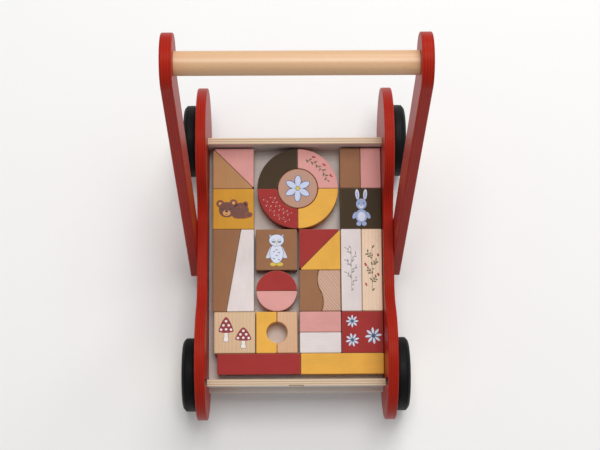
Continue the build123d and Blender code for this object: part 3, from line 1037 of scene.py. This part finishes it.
@dataclass
class Blocks:
    """The thirty loose blocks: painted ones by colour and way of the grain, and bare ones."""

    painted: dict[tuple[Paint, Grain], tuple[str, ...]] = field(default_factory=lambda: {
        (Paint.TAN, Grain.LENGTHWISE): ("tan_triangle",),
        (Paint.BROWN, Grain.LENGTHWISE): ("brown_brick", "brown_trapezoid", "brown_wave"),
        (Paint.BROWN, Grain.ACROSS): ("owl_square",),
        (Paint.DARK, Grain.LENGTHWISE): ("dark_ring_quarter",),
        (Paint.DARK, Grain.ACROSS): ("rabbit_square",),
        (Paint.PINK, Grain.LENGTHWISE): ("pink_triangle", "pink_ring_quarter", "pink_brick"),
        (Paint.PINK, Grain.ACROSS): ("pink_half_disc", "pink_cross_brick"),
        (Paint.RED, Grain.LENGTHWISE): ("red_ring_quarter", "red_triangle", "flower_square"),
        (Paint.RED, Grain.ACROSS): ("red_half_disc", "red_front_plank"),
        (Paint.OCHRE, Grain.LENGTHWISE): ("bear_square",),
        (Paint.YELLOW, Grain.LENGTHWISE): ("yellow_notched", "yellow_triangle"),
        (Paint.YELLOW, Grain.ACROSS): ("yellow_ring_quarter", "yellow_front_plank"),
        (Paint.WHITE, Grain.LENGTHWISE): ("white_trapezoid", "white_plank"),
        (Paint.WHITE, Grain.ACROSS): ("white_cross_brick",),
    })
    bare: dict[str, ClearWood] = field(default_factory=lambda: {
        "daisy_disc": ClearWood(
            "bare_wood_daisy_disc", colour="#AD785C", shift=0.12, band_depth=0.3),
        "berry_plank": ClearWood(
            "bare_wood_berry_plank", colour="#EDCFAF", band_colour="#D8AE84", shift=0.43),
        "natural_wave": ClearWood(
            "bare_wood_wave", colour="#C79A7D", band_colour="#8F5E42", grain=Grain.SLANTING,
            band_mm=2.8, band_depth=1.05, shift=0.57),
        "mushroom_square": ClearWood("bare_wood_mushroom_square", colour="#D3B388", shift=0.71),
        "natural_notched": ClearWood("bare_wood_notched", colour="#D4A375", shift=0.93),
    })

    def dress(self) -> None:
        """Paint or varnish every block."""
        for (paint, grain), blocks in self.painted.items():
            name = f"toy_paint_{paint.name.lower()}_{grain.name.lower()}"
            coat = PaintedWood(name, colour=paint.value, grain=grain).build()
            dress(coat, *(f"block_{block}" for block in blocks))
        for block, wood in self.bare.items():
            dress(wood.build(), f"block_{block}")


@dataclass(frozen=True)
class Stem:
    """One stem of a twig: an arc from a starting point, in millimetres and degrees."""

    x: float
    y: float
    heading: float
    length: float
    bend: float = 0.0

    def line(self) -> list[Point]:
        """Points along the stem."""
        steps = 12
        x, y, points = self.x, self.y, [(self.x, self.y)]
        for k in range(steps):
            angle = math.radians(self.heading + self.bend * (k + 0.5) / steps)
            x += self.length / steps * math.cos(angle)
            y += self.length / steps * math.sin(angle)
            points.append((x, y))
        return points


@dataclass(frozen=True)
class Growth:
    """How leaves or berries sit along a stem, in millimetres, and degrees for the splay."""

    ink: Ink
    leaves: int
    length: float
    width: float
    pull: float = 1.0
    stalk: float = 0.0
    splay: float = 42.0
    stem_width: float = 0.5
    seed: int = 1


@dataclass(frozen=True)
class Petals:
    """A ring of petals: lengths in millimetres, the turn in degrees, and its film's thickness."""

    petals: int
    turn: float
    hub: float
    length: float
    width: float
    pull: float
    film: float


@dataclass
class Prints:
    """The printed pictures on the blocks, all simple nursery shapes."""

    inks: InkBox = field(default_factory=InkBox)
    stem_length: float = 52.0
    petal_tree: Tree | None = None
    twig_tree: Tree | None = None
    film: float = 0.1 * MM
    sunk: float = 0.03 * MM

    def smile(self, x: float, y: float, radius: float, width: float) -> list[Point]:
        """A short stroke that sags like a smile."""
        return ribbon(arc(x, y, radius, 200, 340), width)

    def bear(self) -> None:
        """A small bear asleep on its front."""
        sheet = InkSheet("bear_print", "block_bear_square", self.inks, Ink.BEAR_LINE, 0.9)
        brown, tan, black = Ink.BEAR_BROWN, Ink.BEAR_TAN, Ink.NEAR_BLACK
        tail, body, foot = oval(15.0, 6.0, 2.2, 2.8, 20), rounded([
            (0, -9.5), (10, -11.3), (19, -10.0), (21.5, -6.5), (18.5, -4.0), (17.5, 1.5),
            (12.0, 6.8), (4.0, 6.2), (-2.0, 1.5)]), oval(18.8, -7.3, 3.8, 2.7, 8)
        head = rounded([
            (-17.6, 0.8), (-14.6, 6.6), (-8.0, 8.6), (-1.6, 6.8), (1.6, 1.0), (0.2, -6.2),
            (-5.0, -9.8), (-11.6, -9.6), (-16.4, -5.8)])
        for outline, layer in ((tail, 0), (body, 1), (foot, 3)):
            sheet.lay_outlined(outline, brown, layer)
        for x, y in ((-16.0, 6.6), (0.2, 7.4)):
            sheet.lay_outlined(oval(x, y, 4.0, 3.9), brown, 2)
            sheet.lay(oval(x, y, 2.1, 2.1), tan, 4)
        sheet.lay_outlined(head, brown, 5)
        sheet.lay(oval(-8.2, -4.9, 4.7, 3.6), tan, 7)
        sheet.lay(oval(-8.2, -2.8, 1.9, 1.4), black, 8)
        sheet.lay(self.smile(-8.2, -5.2, 1.8, 0.6), black, 8)
        for x in (-13.2, -3.4):
            sheet.lay(self.smile(x, 1.7, 1.9, 0.8), black, 7)
        for x in (6.0, 9.5):
            sheet.lay(ribbon(arc(x, -5.0, 7.0, 60, 110), 0.5), sheet.line, 3)
        sheet.print()

    def rabbit(self) -> None:
        """A pale blue rabbit standing up."""
        sheet = InkSheet("rabbit_print", "block_rabbit_square", self.inks)
        blue, pale, slate = Ink.PALE_BLUE, Ink.LILAC_WHITE, Ink.SLATE
        axis = 0.6
        for side in (-1, 1):
            ear = axis + side * 4.8
            sheet.lay_outlined(oval(ear, 17.4, 2.3, 6.4, -side * 5), pale, 0)
            sheet.lay(oval(ear, 16.6, 1.0, 4.4, -side * 5), blue, 2)
            sheet.lay_outlined(oval(axis + side * 8.0, -8.6, 2.3, 4.6, side * 28), blue, 0)
            sheet.lay_outlined(oval(axis + side * 3.3, -19.0, 2.9, 2.6), blue, 0)
            sheet.lay(oval(axis + side * 2.9, 6.2, 0.7, 0.9), slate, 6)
        sheet.lay_outlined(oval(axis, -9.4, 6.9, 8.2), blue, 2)
        sheet.lay(oval(axis, -10.0, 4.7, 5.6), pale, 4)
        sheet.lay_outlined(oval(axis, 5.4, 6.3, 6.6), blue, 4)
        sheet.lay(oval(axis, 2.4, 2.9, 2.2), pale, 6)
        sheet.lay(oval(axis, 3.5, 0.9, 0.7), slate, 7)
        sheet.print()

    def owl(self) -> None:
        """A grey-white owl with spread wings and yellow feet."""
        sheet = InkSheet("owl_print", "block_owl_square", self.inks, line_mm=0.5)
        grey, white, yellow = Ink.OWL_GREY, Ink.LILAC_WHITE, Ink.BEAK_YELLOW
        wing = [(6.5, 3.5), (9.4, -1.0), (12.8, -9.6), (10.6, -10.4), (7.4, -9.2), (5.5, -2.0)]
        tuft = [(4.6, 15.6), (8.2, 18.8), (8.2, 13.0)]
        for side in (-1, 1):
            sheet.lay_outlined(oval(side * 4.0, -17.9, 3.7, 2.1), yellow, 0, Ink.BEAR_TAN, 0.3)
            sheet.lay_outlined(rounded([(side * x, y) for x, y in wing][::side]), grey, 0)
            sheet.lay_outlined([(side * x, y) for x, y in tuft][::-side], grey, 0)
            sheet.lay(oval(side * 3.5, 10.2, 3.1, 2.9), grey, 6)
            sheet.lay(self.smile(side * 3.5, 11.4, 2.3, 1.3), Ink.NEAR_BLACK, 7)
        sheet.lay_outlined(oval(0.0, -4.6, 7.9, 12.0), white, 2)
        sheet.lay_outlined(oval(0.0, 11.4, 8.8, 7.0), white, 4)
        sheet.lay([(-1.3, 8.6), (0.0, 6.0), (1.3, 8.6)], yellow, 7)
        for x, y in ((-3.0, -1.5), (3.2, -2.5), (0.2, -6.0), (-3.2, -10.0), (3.0, -11.2), (0.0, 0.8)):
            sheet.lay(self.smile(x, y, 1.4, 0.9), sheet.line, 4)
        sheet.print()

    def mushrooms(self) -> None:
        """Two toadstools, red caps with white dots."""
        sheet = InkSheet("mushroom_print", "block_mushroom_square", self.inks, Ink.BEAR_DARK, 0.4)
        red, white = Ink.CAP_RED, Ink.PAPER_WHITE
        cap = rounded([
            (-9.0, 0.2), (-7.6, 5.4), (-4.4, 12.6), (0.0, 17.2), (4.4, 12.6), (7.6, 5.4),
            (9.0, 0.2), (5.0, -1.4), (0.0, -1.9), (-5.0, -1.4)])
        stem = rounded([(-2.0, 0.5), (-2.1, -6.0), (-3.0, -11.2), (0.0, -12.4), (3.0, -11.2),
                        (2.1, -6.0), (2.0, 0.5)])
        dot = (1.55, 1.45)
        dots = ((0.0, 12.2), (-3.2, 7.2), (3.2, 7.2), (-6.0, 2.0), (0.0, 2.4), (6.0, 2.0))
        for x, y, wide, high in ((-10.2, 1.6, 1.0, 1.0), (10.6, -8.2, 1.08, 0.84)):
            sheet.lay_outlined([(x + u, y + v * high) for u, v in stem], white, 0)
            sheet.lay_outlined(
                [(x + u * wide, y + v * high) for u, v in cap], red, 2, line_mm=0.2)
            for u, v in dots:
                sheet.lay(oval(x + u * wide, y + v * high, *dot), white, 4)
        sheet.print()

    def ring(self, name: str, block: str, x: float, y: float, ink: Ink, shape: Petals) -> None:
        """One ring of petals on a block.

        Args:
            name: the piece's name.
            block: the block it is printed on.
            x: the ring's middle, in millimetres from the block's middle.
            y: the ring's middle.
            ink: the petals' ink.
            shape: the petals.
        """
        middle = top_middle(block) + Vector((x * MM, y * MM, -self.sunk))
        grow(name, bpy.data.meshes.new(name), self.petal_tree, {
            "Petals": shape.petals, "Length": shape.length * MM, "Width": shape.width * MM,
            "Hub": shape.hub * MM, "Turn": math.radians(shape.turn), "Pull": shape.pull,
            "Thickness": shape.film * MM, "Middle": tuple(middle),
            "Ink": self.inks.take(ink)}, block)

    def daisy(self) -> None:
        """A six-petalled daisy on the disc in the ring."""
        block = "block_daisy_disc"
        self.ring("daisy_outline", block, 0, 0, Ink.SLATE, Petals(
            petals=6, turn=28, hub=1.2, length=15.7, width=9.0, pull=0.3, film=0.10))
        self.ring("daisy_petals", block, 0, 0, Ink.DAISY_BLUE, Petals(
            petals=6, turn=28, hub=2.0, length=14.1, width=7.1, pull=0.3, film=0.14))
        sheet = InkSheet("daisy_eye", block, self.inks, line_mm=0.45)
        sheet.lay_outlined(oval(0, 0, 2.3, 2.3), Ink.BEAK_YELLOW, 4)
        sheet.print()

    def flowers(self) -> None:
        """Three pale flowers with blue shadows on the red square."""
        block, petals = "block_flower_square", 8
        for number, (x, y, radius, turn) in enumerate((
                (-12.4, 13.0, 7.8, 0), (-12.4, -9.6, 8.4, 14), (13.0, -4.6, 10.4, 6))):
            self.ring(f"flower_{number}_shadow", block, x, y, Ink.DEEP_BLUE, Petals(
                petals, turn=turn + 8, hub=0.2, length=radius * 0.9, width=radius * 0.3,
                pull=0.7, film=0.10))
            self.ring(f"flower_{number}_petals", block, x, y, Ink.LILAC_WHITE, Petals(
                petals, turn=turn, hub=radius * 0.22, length=radius * 0.76,
                width=radius * 0.27, pull=0.5, film=0.14))

    def twig(self, name: str, block: str, stems: list[Stem], growth: Growth,
             middle: Vector | None = None) -> None:
        """Print one ink of a twig.

        Args:
            name: the piece's name.
            block: the block it is printed on.
            stems: the twig's stems.
            growth: the leaves or berries on them.
            middle: what the stems are measured from; the block's middle if not given.
        """
        corners, edges = [], []
        for stem in stems:
            first = len(corners)
            corners += [(x * MM, y * MM, 0.0) for x, y in stem.line()]
            edges += [(k, k + 1) for k in range(first, len(corners) - 1)]
        base = bpy.data.meshes.new(name)
        base.from_pydata(corners, edges, [])
        place = top_middle(block)
        if middle is not None:
            place.x, place.y = middle.x, middle.y
        place.z -= self.sunk
        grow(name, base, self.twig_tree, {
            "Leaves": growth.leaves, "Leaf Length": growth.length * MM,
            "Leaf Width": growth.width * MM, "Pull": growth.pull, "Stalk": growth.stalk * MM,
            "Splay": math.radians(growth.splay), "Stem Width": growth.stem_width * MM,
            "Thickness": self.film, "Seed": growth.seed, "Middle": tuple(place),
            "Ink": self.inks.take(growth.ink)}, block)

    def bough(self, radius: float, start: float, sweep: float) -> Stem:
        """A stem that keeps to a circle round the ring's middle, from one angle onwards."""
        turn = math.copysign(90.0, sweep)
        return Stem(radius * math.cos(math.radians(start)), radius * math.sin(math.radians(start)),
                    start + turn, radius * math.radians(abs(sweep)), sweep)

    def shoots(self, steps: int, reach: float, splay: float) -> list[Stem]:
        """Straight side shoots left and right, evenly spaced up an upright stem.

        Args:
            steps: how many shoots there are.
            reach: each shoot's length.
            splay: degrees between a shoot and the stem.

        Returns:
            The shoots.
        """
        return [Stem(0.0, self.stem_length * ((k + 1) / (steps + 1) - 0.5),
                     90 + splay * (1 if k % 2 else -1), reach) for k in range(steps)]

    def twigs(self) -> None:
        """The berry twigs, the dotted twig and the grey twig, each evenly laid out."""
        ring = top_middle("block_daisy_disc")
        self.twig("ring_twig_leaves", "block_pink_ring_quarter", [self.bough(37.5, 74, -58)],
                  Growth(Ink.LEAF_GREEN, 12, 4.8, 2.0, splay=46, stem_width=0.4, seed=3), ring)
        self.twig("ring_twig_berries", "block_pink_ring_quarter",
                  [self.bough(44.0, 66 - 21 * k, -3) for k in range(3)],
                  Growth(Ink.BERRY_RED, 2, 2.7, 2.7, pull=0.0, stalk=0.2, splay=20, seed=4), ring)
        self.twig("dotted_twig", "block_red_ring_quarter",
                  [self.bough(radius, 197, 56) for radius in (33.0, 42.0)],
                  Growth(Ink.BLUSH, 12, 1.3, 1.3, pull=0.0, stalk=1.9, splay=64,
                         stem_width=0.12, seed=5), ring)
        upright = [Stem(0.0, -self.stem_length / 2, 90, self.stem_length)]
        self.twig("grey_twig", "block_white_plank", upright + self.shoots(6, 9, 36),
                  Growth(Ink.TWIG_GREY, 4, 4.6, 1.3, splay=34, stem_width=0.35, seed=6))
        self.twig("plank_twig_leaves", "block_berry_plank", upright + self.shoots(4, 7, 44),
                  Growth(Ink.LEAF_GREEN, 5, 4.6, 1.9, splay=46, stem_width=0.35, seed=7))
        self.twig("plank_twig_berries", "block_berry_plank",
                  [Stem(side * 7.5, y, 90, 1.6) for side, y in ((-1, -20), (1, -8), (-1, 4), (1, 16))],
                  Growth(Ink.BERRY_RED, 2, 2.6, 2.6, pull=0.0, stalk=0.2, splay=16, seed=8))

    def make(self) -> None:
        """Print every picture."""
        self.petal_tree, self.twig_tree = petal_ring(), leafy_twig()
        for picture in (self.bear, self.rabbit, self.owl, self.mushrooms, self.daisy,
                        self.flowers, self.twigs):
            picture()


# ------------------------------------------------------------------ studio

@dataclass(frozen=True)
class SoftBox:
    """One square soft box that looks at the tray: its place and side in metres, and its watts."""

    name: str
    at: Point3
    side: float
    watts: float

    def hang(self) -> None:
        """Hang the box."""
        light = bpy.data.lights.new(self.name, "AREA")
        light.shape, light.size, light.energy = "SQUARE", self.side, self.watts
        box = place_in_scene(self.name, light)
        box.location = self.at
        box.rotation_euler = (-Vector(self.at)).to_track_quat("-Z", "Y").to_euler()


@dataclass
class Studio:
    """White paper, a plain pale room light, soft boxes, and the camera high over the tray."""

    paper_radius: float = 7.0
    paper_thick: float = 0.01
    room_colour: str = "#FFFFFF"
    room_light: float = 0.40
    boxes: tuple[SoftBox, ...] = (
        SoftBox("top_box", (0.1, 0.55, 2.5), 1.0, 27.0),
        SoftBox("rear_box", (0.7, 2.0, 2.1), 1.2, 24.0))
    camera_at: Point3 = (-0.0105, -0.2186, 1.692)
    camera_turn: Point3 = (8.9, -0.52, -0.4)
    lens: float = 79.7
    sensor: float = 36.0

    def lay_paper(self) -> None:
        """The floor, a wide thin disc whose top is the ground."""
        disc = oval(0.0, 0.0, self.paper_radius, self.paper_radius, steps=64)
        corners, faces = plate(disc, -self.paper_thick, 0.0)
        mesh = bpy.data.meshes.new("studio_paper")
        mesh.from_pydata(corners, [], faces)
        mesh.materials.append(StudioPaper("matt_studio_paper").build())
        place_in_scene("studio_paper", mesh)

    def light_room(self) -> None:
        """An even white surrounding."""
        world = bpy.data.worlds.new("studio_room")
        world.use_nodes = True
        room = world.node_tree.nodes["Background"]
        room.inputs["Color"].default_value = linear(self.room_colour)
        room.inputs["Strength"].default_value = self.room_light
        bpy.context.scene.world = world
        bpy.context.scene.view_settings.view_transform = "Standard"

    def set_camera(self) -> None:
        """The camera, nearly straight above and a little in front."""
        lens = bpy.data.cameras.new("studio_camera")
        lens.lens, lens.sensor_width = self.lens, self.sensor
        camera = place_in_scene("studio_camera", lens)
        camera.location = self.camera_at
        camera.rotation_euler = [math.radians(turn) for turn in self.camera_turn]
        bpy.context.scene.camera = camera

    def set_up(self) -> None:
        """Set up the floor, the light and the camera."""
        self.lay_paper()
        self.light_room()
        for box in self.boxes:
            box.hang()
        self.set_camera()
        LOG.info("set up the studio")


# ------------------------------------------------------------------ making it all


def main() -> None:
    """Make the studio, dress the trolley and print the blocks."""
    logging.basicConfig(level=logging.INFO, format="%(name)s: %(message)s", stream=sys.stdout)
    Studio().set_up()
    lacquer = LacqueredPly("red_lacquered_birch_ply").build()
    steel = ZincSteel("zinc_plated_steel").build()
    rubber = MouldedRubber("moulded_black_rubber").build()
    Tray().dress(lacquer, steel)
    Handle().dress(lacquer, steel)
    wheels = Wheels()
    wheels.dress(rubber, steel)
    wheels.rib_tyres(rubber)
    Blocks().dress()
    Prints().make()


if __name__ == "__main__":
    main()
